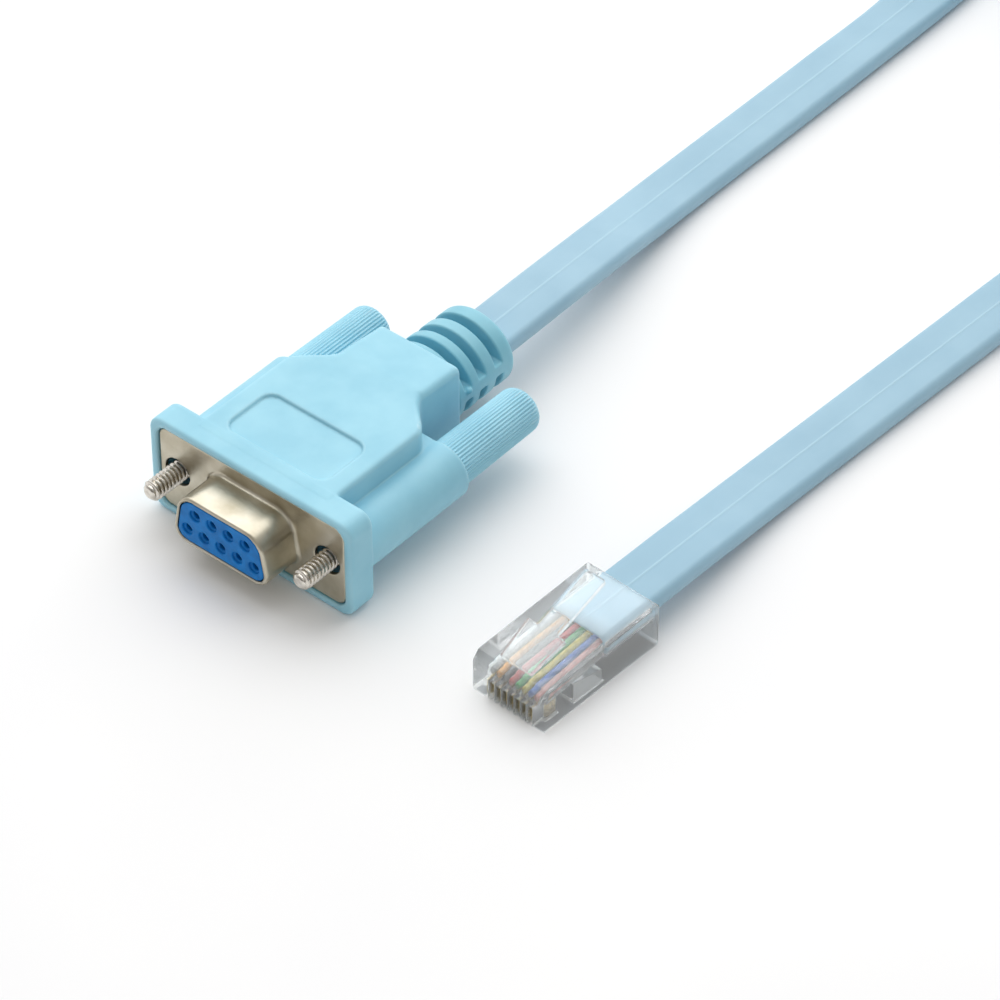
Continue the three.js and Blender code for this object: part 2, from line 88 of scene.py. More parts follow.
HOOD_REAR = 32.0
NECK_REAR_HALF = 6.75
NECK_REAR_TOP = 6.85
BLOCK_EDGE = 0.65
NECK_EDGE = 1.0
SHOULDER_SLANT = 0.75  # makes up for the shoulder's slope across the walls
HOOD_END_EDGE = 0.5
EAR_EDGE = 0.3
EAR_RADIUS = 4.05
EAR_REAR = 22.2
SHELF_HEIGHT = 3.8  # of the web between each ear and the block
BORE_RADIUS = 3.6
BORE_FRONT = 11.8
SCREW_ROOM = 2.9
LABEL_HALF = (8.2, 4.3)
LABEL_MIDDLE = 8.5
LABEL_CORNER = 1.8
LABEL_DEPTH = 0.4
LABEL_EDGE = 0.12

# Boot behind the hood
BOOT_START = 32.3
BOOT_END = 43.65
BOOT_HALF = (6.25, 5.6)
BOOT_TAPER = 0.97
BOOT_ROUNDING = 0.95
BOOT_ROOT_HALF = (5.2, 4.4)
BOOT_ROOT_FRONT = 29.5
BOOT_ROOM = (6.6, 5.8)  # half sizes of the box that holds the boot
BOOT_MOUTH = 3.2  # how far the cord's channel runs in from the end
BOOT_MOUTH_GAP = 0.08
SLOT_HALF = 0.7
SLOT_FLOOR = (4.0, 3.2)
SLOT_STOPS = {1: 1.3, -1: 0.35}  # above and below
SLOT_PLACES = (34.3, 37.2, 40.4)
SLOT_EDGE = 0.2
GATE_NUB = (6.05, 34.3, 1.1)
GATE_NUB_RADIUS = 0.5

# Thumbscrews
KNOB_FRONT = 12.0
KNOB_END = 37.6
KNOB_RADIUS = 3.4
KNOB_END_RADIUS = 3.2
KNOB_ROUNDING = 1.3
KNOB_MOUTH = 1.7
KNOB_EDGE = 0.3
FLUTES_SETBACK = 0.5
KNOB_FLUTES = 44
KNOB_FLUTE_DEPTH = 0.13
SCREW_RADIUS = 1.42
SCREW_TIP = -5.3
SCREW_PITCH = 0.635
THREAD_DEPTH = 0.42
THREAD_END = 1.6
SCREW_SHANK = 1.32
SCREW_TAPER = 0.7
SCREW_IN_KNOB = 8.0

# Flat cord
CORD_WIDTH = 8.4
CORD_THICKNESS = 2.5
CORD_CORNER = 1.05
CORD_RIDGE = 0.05
CORD_RIDGE_WIDTH = 0.5
RIDGE_HIGHLIGHT_ATTRIBUTE = "painted_ridge_highlight"  # the cord mesh's own value, 1 on the raised lines, which get a painted highlight

# Plug
PLUG_HALF = 5.84
PLUG_LENGTH = 21.1
PLUG_NOSE_HEIGHT = 4.9
PLUG_FRONT_HEIGHT = 6.15
PLUG_REAR_HEIGHT = 6.6
PLUG_ROOM = 6.7
PLUG_SLOPE = 1.0
PLUG_EDGE = 0.22
JACKET_END = 12.8
JACKET_GAP = 0.2
JACKET_ROOM_CORNER = 1.1
CORD_HEIGHT_IN_PLUG = 4.4
NOSE_SLANT = 0.62
CRIMP_START = 6.6
CRIMP_END = 11.7
CRIMP_TOP = 3.0
CRIMP_SLOPE = 0.22
CRIMP_HALF = 4.3
BLADE_PITCH = 1.02
BLADE_SLOT_HALF = 0.25
BLADE_SLOT_END = 3.8
BLADE_SLOT_TOP = 3.05
WIRE_RADIUS = 0.44
WIRE_FRONT = 1.4
WIRE_FRONT_HEIGHT = 3.6
LATCH_ROOT = 1.5
LATCH_THICKNESS = 0.9
LATCH_RISE = math.radians(18)
LATCH_ROOT_HALF = 2.5
LATCH_HALF = 3.05
LATCH_SHOULDER = 6.0
LATCH_TAB_HALF = 1.62
LATCH_LENGTH = 15.3
LATCH_GAP = 0.1

# Coil
COIL_X = 38.0
COIL_Y = 200.0
TIE_ANGLE = math.radians(250)
TIE_WIDTH = 6.0
TIE_THICKNESS = 0.58
TIE_CORNER = 0.7
TIE_INNER_GAP = 0.55
TIE_OUTER_GAP = 0.35
TIE_HEIGHT_GAP = 0.2

# Places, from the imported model
HOOD_LOW, HOOD_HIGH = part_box("hood")
AXIS_HEIGHT = (HOOD_LOW.z + HOOD_HIGH.z) / 2 / MM
PLATE_Y = HOOD_LOW.y / MM + FLANGE_PROUD
FLANGE_HALF = (HOOD_HIGH.x / MM, (HOOD_HIGH.z - HOOD_LOW.z) / 2 / MM)
KNOB_BOX = {side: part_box(f"knob_{side}") for side in ("left", "right")}
SCREW_X = (KNOB_BOX["right"][0].x + KNOB_BOX["right"][1].x) / 2 / MM
PLUG_TURN = math.radians(-2.0)
PLUG_X = 41.56
PLUG_NOSE = -0.1

CONNECTOR = Matrix.Translation((0, PLATE_Y * MM, AXIS_HEIGHT * MM))
LAYOUT = Matrix.Translation((0, PLATE_Y * MM, 0))
PLUG = Matrix.Translation((PLUG_X * MM, (PLATE_Y + PLUG_NOSE) * MM, 0)) @ Matrix.Rotation(PLUG_TURN, 4, "Z")


# Camera, at the photograph's angle

AZIMUTH = math.radians(40.22)
ELEVATION = math.radians(42.28)
LENS = 180.0
SENSOR = 36.0
FRAME_PIXELS = 1000
DISTANCE = 618.38
ORIGIN_PIXEL = (251.58, 515.7)  # of the middle of the metal plate's front face
BRIGHT_SIDE = (-0.5, 0.5, 0.6)  # where most of the studio's light comes from


def add_camera():
    back = Vector((math.sin(AZIMUTH) * math.cos(ELEVATION), -math.cos(AZIMUTH) * math.cos(ELEVATION),
                   math.sin(ELEVATION)))
    right = Vector((0, 0, 1)).cross(back).normalized()
    up = back.cross(right)
    per_pixel = DISTANCE * SENSOR / LENS / FRAME_PIXELS
    aside = (ORIGIN_PIXEL[0] - FRAME_PIXELS / 2) * per_pixel
    above = (FRAME_PIXELS / 2 - ORIGIN_PIXEL[1]) * per_pixel
    place = back * DISTANCE - right * aside - up * above
    camera = bpy.data.objects.new("camera", bpy.data.cameras.new("camera"))
    camera.data.lens = LENS
    camera.data.sensor_width = SENSOR
    camera.data.clip_start = 0.01
    camera.data.clip_end = 20
    turn = Matrix((right, up, back)).transposed().to_4x4()
    camera.matrix_world = Matrix.Translation(CONNECTOR @ (place * MM)) @ turn
    bpy.context.collection.objects.link(camera)
    bpy.context.scene.camera = camera


# Materials

def linear(red, green, blue):
    """A colour given as it looks on a screen, 0 to 255, as the shader wants it."""
    shares = [value / 255 for value in (red, green, blue)]
    return [s / 12.92 if s <= 0.04045 else ((s + 0.055) / 1.055) ** 2.4 for s in shares] + [1.0]


class Look:
    """A node material, with a Principled shader to which textures are added."""

    def __init__(self, name, **values):
        self.material = bpy.data.materials.new(name)
        self.material.use_nodes = True
        self.nodes = self.material.node_tree.nodes
        self.links = self.material.node_tree.links
        self.shader = self.nodes["Principled BSDF"]
        self.place = self.nodes.new("ShaderNodeTexCoord").outputs["Object"]
        self.bump_from = None
        for key, value in values.items():
            self.shader.inputs[key.replace("_", " ")].default_value = value

    def stretched(self, scale):
        mapping = self.nodes.new("ShaderNodeMapping")
        mapping.inputs["Scale"].default_value = scale
        self.links.new(self.place, mapping.inputs["Vector"])
        return mapping.outputs["Vector"]

    def noise(self, size, detail=2.0, stretch=None):
        """Noise whose patches are about one size in millimetres."""
        node = self.nodes.new("ShaderNodeTexNoise")
        node.inputs["Scale"].default_value = 1 / (size * MM)
        node.inputs["Detail"].default_value = detail
        self.links.new(self.stretched(stretch) if stretch else self.place, node.inputs["Vector"])
        return node.outputs["Fac"]

    def ramp(self, value, low, high, start=0.35, end=0.65):
        """Turns a value into a colour between two."""
        node = self.nodes.new("ShaderNodeValToRGB")
        first, last = node.color_ramp.elements
        first.position, last.position = start, end
        first.color, last.color = low, high
        self.links.new(value, node.inputs["Fac"])
        return node.outputs["Color"]

    def range(self, value, low, high, start=0.0, end=1.0):
        """Turns a value that runs from start to end into one that runs from low to high."""
        node = self.nodes.new("ShaderNodeMapRange")
        node.inputs["From Min"].default_value = start
        node.inputs["From Max"].default_value = end
        node.inputs["To Min"].default_value = low
        node.inputs["To Max"].default_value = high
        self.links.new(value, node.inputs["Value"])
        return node.outputs["Result"]

    def blend(self, share, first, second):
        """Goes from a colour output to a plain colour as the share grows."""
        node = self.nodes.new("ShaderNodeMix")
        node.data_type = "RGBA"
        self.links.new(share, node.inputs[0])
        self.links.new(first, node.inputs[6])
        node.inputs[7].default_value = second
        return node.outputs[2]

    def colour(self, output):
        self.links.new(output, self.shader.inputs["Base Color"])

    def roughness(self, output):
        self.links.new(output, self.shader.inputs["Roughness"])

    def bump(self, value, height, strength):
        """Relief of a height in millimetres; a second call adds to the first."""
        node = self.nodes.new("ShaderNodeBump")
        node.inputs["Strength"].default_value = strength
        node.inputs["Distance"].default_value = height * MM
        self.links.new(value, node.inputs["Height"])
        if self.bump_from:
            self.links.new(self.bump_from, node.inputs["Normal"])
        self.bump_from = node.outputs["Normal"]
        self.links.new(self.bump_from, self.shader.inputs["Normal"])


def moulded_plastic(name, low, high, painted_edge_highlight=None):
    """Soft PVC: faint mottling, a fine satin grain, uneven gloss and, if asked for, a painted highlight that
    makes the edges paler.
    """
    look = Look(name, Subsurface_Weight=0.12, Subsurface_Scale=0.6 * MM, Specular_IOR_Level=0.5)
    look.shader.inputs["Subsurface Radius"].default_value = (0.6, 0.9, 1.0)
    mottled = look.ramp(look.noise(6.0, 3.0), linear(*low), linear(*high))
    look.colour(mottled)
    if painted_edge_highlight:
        # Painted highlight: edges and rims are coloured paler, standing in for light caught on their
        # roundings.
        shape = look.nodes.new("ShaderNodeNewGeometry")
        edges = look.range(shape.outputs["Pointiness"], 0, 0.5, start=0.515, end=0.6)
        look.colour(look.blend(edges, mottled, linear(*painted_edge_highlight)))
    look.roughness(look.range(look.noise(2.5, 4.0), 0.37, 0.48))
    look.bump(look.noise(0.16, 2.0), 0.012, 0.5)
    look.bump(look.noise(1.4, 2.0), 0.02, 0.35)
    return look.material


def cord_plastic():
    """Extruded PVC: smooth, with a painted highlight on the raised middle lines and faint tone along the
    cord's run.
    """
    look = Look("cord_plastic", Subsurface_Weight=0.1, Subsurface_Scale=0.5 * MM, Specular_IOR_Level=0.45)
    look.shader.inputs["Subsurface Radius"].default_value = (0.7, 0.9, 1.0)
    line = look.nodes.new("ShaderNodeAttribute")
    line.attribute_name = RIDGE_HIGHLIGHT_ATTRIBUTE
    mottled = look.ramp(look.noise(9.0, 3.0), linear(150, 188, 208), linear(157, 194, 213))
    # Painted highlight: the raised middle lines are coloured paler, standing in for light caught on the
    # ridge's top.
    look.colour(look.blend(line.outputs["Fac"], mottled, linear(166, 202, 219)))
    look.roughness(look.range(look.noise(3.0, 3.0), 0.38, 0.5))
    look.bump(look.noise(0.3, 2.0), 0.008, 0.4)
    return look.material


def nickel_plate():
    look = Look("nickel_plate", Metallic=1.0)
    brushed = look.noise(0.5, 6.0, stretch=(0.25, 1.0, 1.4))
    look.colour(look.ramp(look.noise(3.5, 5.0), linear(178, 170, 150), linear(206, 200, 184), 0.3, 0.7))
    look.roughness(look.range(brushed, 0.24, 0.42))
    look.bump(look.noise(0.12, 3.0, stretch=(0.2, 1.0, 1.0)), 0.005, 0.5)
    look.bump(look.noise(2.6, 1.0), 0.012, 0.25)
    return look.material


def bright_steel():
    look = Look("bright_steel", Metallic=1.0)
    look.colour(look.ramp(look.noise(0.8, 4.0), linear(196, 190, 180), linear(226, 221, 212)))
    look.roughness(look.range(look.noise(0.4, 4.0), 0.1, 0.24))
    look.bump(look.noise(0.15, 3.0), 0.008, 0.5)
    return look.material


def gold_plate():
    look = Look("gold_plate", Metallic=1.0)
    look.colour(look.ramp(look.noise(0.6, 4.0), linear(196, 168, 104), linear(226, 208, 160)))
    look.roughness(look.range(look.noise(0.3, 3.0), 0.2, 0.36))
    return look.material


def insulator_plastic():
    look = Look("insulator_plastic", Specular_IOR_Level=0.2)
    look.colour(look.ramp(look.noise(1.2, 4.0), linear(0, 110, 186), linear(6, 126, 206)))
    look.roughness(look.range(look.noise(0.8, 3.0), 0.36, 0.5))
    look.bump(look.noise(0.2, 3.0), 0.012, 0.5)
    return look.material


def clear_polycarbonate():
    """Clear plastic with faint flow marks."""
    look = Look("clear_polycarbonate", Transmission_Weight=0.91, IOR=1.14, Roughness=0.02,
                Coat_Weight=1.0, Coat_Roughness=0.03, Coat_IOR=1.5)
    look.colour(look.ramp(look.noise(4.0, 2.0), linear(244, 248, 249), linear(252, 254, 254)))
    look.bump(look.noise(1.6, 2.0), 0.012, 0.4)
    rays = look.nodes.new("ShaderNodeLightPath")
    through = look.nodes.new("ShaderNodeBsdfTransparent")
    through.inputs["Color"].default_value = (0.74, 0.76, 0.77, 1)
    mix = look.nodes.new("ShaderNodeMixShader")
    look.links.new(rays.outputs["Is Shadow Ray"], mix.inputs["Fac"])
    look.links.new(look.shader.outputs["BSDF"], mix.inputs[1])
    look.links.new(through.outputs["BSDF"], mix.inputs[2])
    look.links.new(mix.outputs["Shader"], look.nodes["Material Output"].inputs["Surface"])
    return look.material


def wire_insulation(name, colour):
    look = Look(f"wire_{name}_plastic", Specular_IOR_Level=0.5)
    dark = [0.82 * value for value in colour]
    look.colour(look.ramp(look.noise(0.7, 3.0), linear(*dark), linear(*colour)))
    look.roughness(look.range(look.noise(0.5, 2.0), 0.3, 0.42))
    look.bump(look.noise(0.25, 2.0), 0.01, 0.4)
    return look.material


def hook_and_loop():
    look = Look("hook_and_loop", Sheen_Weight=0.4, Sheen_Roughness=0.5, Specular_IOR_Level=0.3)
    weave = look.nodes.new("ShaderNodeTexVoronoi")
    weave.inputs["Scale"].default_value = 1 / (0.45 * MM)
    look.links.new(look.place, weave.inputs["Vector"])
    look.colour(look.ramp(weave.outputs["Distance"], linear(26, 28, 31), linear(64, 67, 73), 0.1, 0.8))
    look.roughness(look.range(look.noise(0.5, 2.0), 0.75, 0.95))
    look.bump(weave.outputs["Distance"], 0.12, 0.8)
    return look.material


def floor_paint():
    look = Look("floor_paint", Specular_IOR_Level=0.2, Roughness=0.8)
    look.colour(look.ramp(look.noise(60.0, 2.0), linear(248, 248, 249), linear(251, 251, 251)))
    return look.material


# Shapes as distance fields: negative inside, in millimetres

def meet(a, b, rounding):
    """What lies in both, with a rounded edge."""
    inside = np.minimum(-rounding, np.maximum(a, b))
    return inside + np.hypot(np.maximum(a + rounding, 0), np.maximum(b + rounding, 0))


def join(a, b, fillet):
    """What lies in either, with a fillet where they meet."""
    outside = np.maximum(fillet, np.minimum(a, b))
    return outside - np.hypot(np.maximum(fillet - a, 0), np.maximum(fillet - b, 0))


def take(a, b, rounding):
    """What lies in the first and not in the second."""
    return meet(a, -b, rounding)


def slab(value, low, high):
    return np.maximum(low - value, value - high)


def rounded_rectangle(a, b, half, corner):
    over_a = np.abs(a) - half[0] + corner
    over_b = np.abs(b) - half[1] + corner
    outside = np.hypot(np.maximum(over_a, 0), np.maximum(over_b, 0))
    return outside + np.minimum(np.maximum(over_a, over_b), 0) - corner


def ellipse(a, b, half):
    share = np.hypot(a / half[0], b / half[1])
    steep = np.hypot(a / half[0] ** 2, b / half[1] ** 2)
    return share * (share - 1) / np.maximum(steep, 1e-6)


def d_outline(x, z, offset):
    """The D, wide side down, grown by an offset."""
    middle = SHROUD_HALF[0] - SHROUD_HALF[1] * math.tan(SHROUD_TILT)
    side = (np.abs(x) - middle + z * math.tan(SHROUD_TILT)) * math.cos(SHROUD_TILT) - offset
    return meet(side, np.abs(z) - SHROUD_HALF[1] - offset, SHROUD_CORNER + offset)


def ramp_between(value, start, end, low, high):
    """Low before the start and high after the end, with a smooth change between."""
    share = np.clip((value - start) / (end - start), 0, 1)
    return low + (high - low) * share * share * (3 - 2 * share)


CONTACTS = [((i - (count - 1) / 2) * CONTACT_PITCH, side * CONTACT_ROWS / 2)
            for count, side in ((4, 1), (5, -1)) for i in range(count)]


def hood_field(x, y, z):
    half_x, half_z = FLANGE_HALF
    flange = meet(rounded_rectangle(x, z, (half_x, half_z), FLANGE_CORNER),
                  slab(y, -FLANGE_PROUD, FLANGE_REAR), FLANGE_EDGE)
    width = ramp_between(y, BLOCK_REAR, NECK_START, BLOCK_HALF, NECK_HALF)
    behind = np.clip((y - NECK_START) / (HOOD_REAR - NECK_START), 0, 1.2)
    width = width - behind * (NECK_HALF - NECK_REAR_HALF)
    height = half_z - behind * (half_z - NECK_REAR_TOP)
    in_shoulder = (y > BLOCK_REAR) & (y < NECK_START)
    slant = np.where(in_shoulder, SHOULDER_SLANT, 1.0)
    edge = ramp_between(y, BLOCK_REAR, NECK_START, BLOCK_EDGE, NECK_EDGE)
    block = meet((np.abs(x) - width) * slant, np.abs(z) - height, edge)
    block = meet(block, slab(y, FLANGE_REAR / 2, HOOD_REAR), HOOD_END_EDGE)
    ear_axis = np.hypot(np.abs(x) - SCREW_X, z)
    ear_run = slab(y, FLANGE_REAR / 2, EAR_REAR)
    ear = meet(ear_axis - EAR_RADIUS, ear_run, EAR_EDGE)
    shelf = meet(slab(np.abs(x), NECK_HALF, SCREW_X), np.abs(z) - SHELF_HEIGHT, EAR_EDGE)
    ear = join(ear, meet(shelf, ear_run, EAR_EDGE), 0.1)
    body = join(join(flange, block, 0.12), ear, 0.2)

    label = rounded_rectangle(x, y - LABEL_MIDDLE, LABEL_HALF, LABEL_CORNER)
    body = take(body, np.maximum(label, half_z - LABEL_DEPTH - z), LABEL_EDGE)
    recess = rounded_rectangle(x, z, [half + CLEARANCE for half in PLATE_HALF], PLATE_CORNER + CLEARANCE)
    body = take(body, np.maximum(recess, y - PLATE_THICKNESS - CLEARANCE), CUT_EDGE)
    pocket = np.maximum(d_outline(x, z, -CLEARANCE), y - INSULATOR_REAR - CLEARANCE)
    body = take(body, pocket, CUT_EDGE)
    screw_room = np.maximum(ear_axis - SCREW_ROOM, y - BORE_FRONT - 1)
    body = take(body, screw_room, CUT_EDGE)
    body = take(body, np.maximum(ear_axis - BORE_RADIUS, BORE_FRONT - y), 0.12)
    boot_room = ellipse(x, z, [half + CLEARANCE for half in BOOT_ROOT_HALF])
    return take(body, np.maximum(boot_room, BOOT_ROOT_FRONT - CLEARANCE - y), 0.1)


def boot_field(x, y, z):
    along = (y - BOOT_START) / (BOOT_END - BOOT_START)
    taper = 1 + (BOOT_TAPER - 1) * np.clip(along, 0, 1)
    sleeve = ellipse(x / taper, z / taper, BOOT_HALF) * taper
    boot = meet(sleeve, slab(y, BOOT_START, BOOT_END), BOOT_ROUNDING)
    boot = np.minimum(boot, meet(sleeve, slab(y, BOOT_START, BOOT_START + 3), 0.25))
    for side, stop in SLOT_STOPS.items():
        for place in SLOT_PLACES:
            ring = take(np.abs(y - place) - SLOT_HALF, ellipse(x, z, SLOT_FLOOR), 0.3)
            boot = take(boot, meet(ring, stop - side * z, SLOT_EDGE), SLOT_EDGE)
    nub = np.hypot(np.hypot(x - GATE_NUB[0], y - GATE_NUB[1]), z - GATE_NUB[2]) - GATE_NUB_RADIUS
    boot = join(boot, nub, 0.1)
    root = np.maximum(ellipse(x, z, BOOT_ROOT_HALF), slab(y, BOOT_ROOT_FRONT, BOOT_START + 1))
    boot = np.minimum(boot, root)
    channel_half = (CORD_WIDTH / 2 + BOOT_MOUTH_GAP, CORD_THICKNESS / 2 + BOOT_MOUTH_GAP)
    channel = rounded_rectangle(x, z, channel_half, CORD_CORNER)
    return take(boot, np.maximum(channel, BOOT_END - BOOT_MOUTH - y), 0.12)


def shell_field(x, y, z):
    plate = meet(rounded_rectangle(x, z, PLATE_HALF, PLATE_CORNER), slab(y, 0, PLATE_THICKNESS), 0.22)
    shroud = meet(d_outline(x, z, 0), slab(y, -SHROUD_REACH, PLATE_THICKNESS / 2), SHROUD_RIM)
    shell = join(plate, np.minimum(shroud, np.maximum(d_outline(x, z, 0), slab(y, -1.5, 0.3))), SHROUD_FOOT)
    shell = np.maximum(shell, y - PLATE_THICKNESS)
    shell = take(shell, d_outline(x, z, -SHROUD_WALL), CUT_EDGE)
    return take(shell, np.hypot(np.abs(x) - SCREW_X, z) - PLATE_HOLE, CUT_EDGE)


def insulator_field(x, y, z):
    block = meet(d_outline(x, z, -SHROUD_WALL - CLEARANCE), slab(y, INSULATOR_FACE, INSULATOR_REAR), 0.12)
    for hole_x, hole_z in CONTACTS:
        axis = np.hypot(x - hole_x, z - hole_z)
        block = take(block, axis - CONTACT_HOLE, 0.05)
        block = take(block, np.maximum(axis - COUNTERSINK, y - INSULATOR_FACE - COUNTERSINK_DEPTH), 0.06)
        block = take(block, np.maximum(axis - CONTACT_ROOM, INSULATOR_FACE + CONTACT_LIP - y), 0.05)
    return block


def plug_top(y):
    share = (y - PLUG_SLOPE) / (PLUG_LENGTH - PLUG_SLOPE)
    return PLUG_FRONT_HEIGHT + share * (PLUG_REAR_HEIGHT - PLUG_FRONT_HEIGHT)


def wire_height(y):
    share = (y - WIRE_FRONT) / (JACKET_END - WIRE_FRONT)
    return WIRE_FRONT_HEIGHT + share * (CORD_HEIGHT_IN_PLUG - WIRE_FRONT_HEIGHT)


def plug_field(x, y, z):
    nose = (z - PLUG_NOSE_HEIGHT - (PLUG_FRONT_HEIGHT - PLUG_NOSE_HEIGHT) * y / PLUG_SLOPE) * NOSE_SLANT
    side_view = meet(slab(y, 0, PLUG_LENGTH), np.maximum(np.maximum(z - plug_top(y), nose), -z), PLUG_EDGE)
    body = meet(side_view, np.abs(x) - PLUG_HALF, PLUG_EDGE)
    room_half = (CORD_WIDTH / 2 + JACKET_GAP, CORD_THICKNESS / 2 + JACKET_GAP)
    cord_room = rounded_rectangle(x, z - CORD_HEIGHT_IN_PLUG, room_half, JACKET_ROOM_CORNER)
    body = take(body, np.maximum(cord_room, JACKET_END - 0.3 - y), 0.1)
    wires = np.maximum(np.abs(x) - 4 * BLADE_PITCH - 0.1, np.abs(z - wire_height(y)) - WIRE_RADIUS - 0.2)
    body = take(body, np.maximum(wires, slab(y, WIRE_FRONT - 0.15, JACKET_END)), 0.08)
    lane = np.abs((x / BLADE_PITCH + 40) % 1 - 0.5) * BLADE_PITCH
    lanes = np.maximum(lane - BLADE_SLOT_HALF, np.abs(x) - 4 * BLADE_PITCH)
    lanes = np.maximum(lanes, np.maximum(y - BLADE_SLOT_END, z - BLADE_SLOT_TOP))
    body = take(body, lanes, 0.05)
    crimp_top = CRIMP_TOP - CRIMP_SLOPE * (y - CRIMP_START)
    crimp = np.maximum(slab(y, CRIMP_START, CRIMP_END), z - crimp_top)
    return take(body, np.maximum(crimp, np.abs(x) - CRIMP_HALF), 0.12)


def latch_field(x, y, z):
    """In the latch's own place: y along it from its root, z up from its lower face."""
    width = LATCH_ROOT_HALF + (LATCH_HALF - LATCH_ROOT_HALF) * np.clip(y / LATCH_SHOULDER, 0, 1)
    wide = meet(np.abs(x) - width, slab(y, 0, LATCH_SHOULDER), 0.2)
    tab = meet(np.abs(x) - LATCH_TAB_HALF, slab(y, 1, LATCH_LENGTH), 0.3)
    return meet(join(wide, tab, 0.3), slab(z, 0, LATCH_THICKNESS), 0.16)


def field_mesh(field, low, high, pitch):
    """Meshes the surface where a field is zero, with its points put exactly on that surface."""
    low = np.array(low, float) - 2 * pitch
    axes = [np.arange(low[i], high[i] + 3 * pitch, pitch) for i in range(3)]
    values = field(*np.meshgrid(*axes, indexing="ij")).astype(np.float32)
    reach = 3 * pitch
    grid = openvdb.FloatGrid(reach)
    grid.copyFromArray(np.clip(values, -reach, reach))
    points, quads = grid.convertToQuads(0.0)
    points = points.astype(float) * pitch + low
    step = 0.02
    shifts = np.eye(3) * step
    for _ in range(3):
        here = field(*points.T)
        slope = np.stack([(field(*(points + s).T) - field(*(points - s).T)) / (2 * step) for s in shifts], 1)
        steep = np.maximum((slope ** 2).sum(1), 0.25)
        move = slope * (here / steep)[:, None]
        length = np.linalg.norm(move, axis=1, keepdims=True)
        points = points - move * np.minimum(1, 0.6 * pitch / np.maximum(length, 1e-9))
    return points, quads


# Meshes

def add_object(name, points, faces, place, material, smooth=True):
    """Makes an object of points in millimetres; its mesh is in metres in the part's own frame."""
    placed = [place @ (Vector(point) * MM) for point in points]
    mesh = bpy.data.meshes.new(name)
    mesh.from_pydata(placed, [], [tuple(int(i) for i in face) for face in faces])
    work = bmesh.new()
    work.from_mesh(mesh)
    if work.calc_volume(signed=True) < 0:
        bmesh.ops.reverse_faces(work, faces=work.faces)
    work.to_mesh(mesh)
    work.free()
    mesh.shade_smooth() if smooth else mesh.shade_flat()
    mesh.materials.append(material)
    thing = bpy.data.objects.new(name, mesh)
    bpy.context.collection.objects.link(thing)
    return thing


def dress(thing, body, slot, *nodes):
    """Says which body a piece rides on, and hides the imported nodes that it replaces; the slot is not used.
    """
    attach(thing, body)
    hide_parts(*nodes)
    return thing


def grid_faces(rows, columns):
    """Faces between rows of points that each run round, with both ends capped."""
    faces = []
    for row in range(rows - 1):
        for column in range(columns):
            after = (column + 1) % columns
            faces.append((row * columns + column, row * columns + after,
                          (row + 1) * columns + after, (row + 1) * columns + column))
    faces.append(tuple(reversed(range(columns))))
    faces.append(tuple((rows - 1) * columns + i for i in range(columns)))
    return faces


def add_knob(side, material):
    """A fluted handle with a rounded end. Each row: place, radius and share of the flutes' depth."""
    x = SCREW_X if side == "right" else -SCREW_X
    columns = KNOB_FLUTES * 8
    angles = np.arange(columns) / columns * 2 * math.pi
    flute = 0.5 + 0.5 * np.cos(angles * KNOB_FLUTES)
    rows = [(KNOB_FRONT, KNOB_MOUTH, 0.0), (KNOB_FRONT, KNOB_RADIUS - KNOB_EDGE, 0.0),
            (KNOB_FRONT + KNOB_EDGE, KNOB_RADIUS, 0.0)]
    flutes_start = KNOB_FRONT + FLUTES_SETBACK
    straight_end = KNOB_END - KNOB_ROUNDING
    for share in np.linspace(0.02, 1, 30):
        y = flutes_start + (straight_end - flutes_start) * share
        rows.append((y, KNOB_RADIUS + (KNOB_END_RADIUS - KNOB_RADIUS) * share, 1.0))
    for k in range(1, 9):
        angle = k / 8 * math.pi / 2
        radius = KNOB_END_RADIUS - KNOB_ROUNDING * (1 - math.cos(angle))
        rows.append((straight_end + KNOB_ROUNDING * math.sin(angle), radius, max(0.0, 1 - k / 6)))
    rows += [(KNOB_END, (KNOB_END_RADIUS - KNOB_ROUNDING) * share, 0.0) for share in (0.6, 0.2)]
    points = []
    for y, radius, fluted in rows:
        radii = radius - KNOB_FLUTE_DEPTH * fluted * flute
        points += [(x + r * math.cos(a), y, r * math.sin(a)) for r, a in zip(radii, angles)]
    made = add_object(f"knob_{side}_moulding", points, grid_faces(len(rows), columns), CONNECTOR, material)
    return dress(made, f"thumbscrew_{side}", "hood_blue", f"knob_{side}")


def add_screw(side, material):
    """A single thread with a tapered tip, then a plain shank into the knob."""
    x = SCREW_X if side == "right" else -SCREW_X
    columns = 48
    angles = np.arange(columns) / columns * 2 * math.pi
    rows = []
    for y in np.arange(SCREW_TIP, THREAD_END, SCREW_PITCH / 12):
        turn = (y / SCREW_PITCH - angles / (2 * math.pi)) % 1
        crest = np.clip((0.5 - np.abs(turn - 0.5)) * 3.0 - 0.45, 0, 1)
        crest = crest * crest * (3 - 2 * crest)
        radii = SCREW_RADIUS - THREAD_DEPTH * (1 - crest)
        cap = SCREW_RADIUS - SCREW_TAPER * (1 - min(1, (y - SCREW_TIP) / SCREW_TAPER)) ** 1.5
        rows.append((y, np.minimum(radii, cap)))
    rows = [(SCREW_TIP, rows[0][1] * share) for share in (0.15, 0.6, 0.9)] + rows
    shank = np.full(columns, SCREW_SHANK)
    rows += [(THREAD_END + 0.1, shank), (KNOB_FRONT + SCREW_IN_KNOB, shank)]
    points = [(x + r * math.cos(a), y, r * math.sin(a)) for y, radii in rows for r, a in zip(radii, angles)]
    made = add_object(f"screw_{side}_thread", points, grid_faces(len(rows), columns), CONNECTOR, material)
    return dress(made, f"thumbscrew_{side}", "steel", f"screw_{side}")


# The cord's route. Each point: x, y from the plate's front face, height, roll in degrees

def plug_line(y):
    return [PLUG_X - math.sin(PLUG_TURN) * y, PLUG_NOSE + math.cos(PLUG_TURN) * y, CORD_HEIGHT_IN_PLUG, 0]


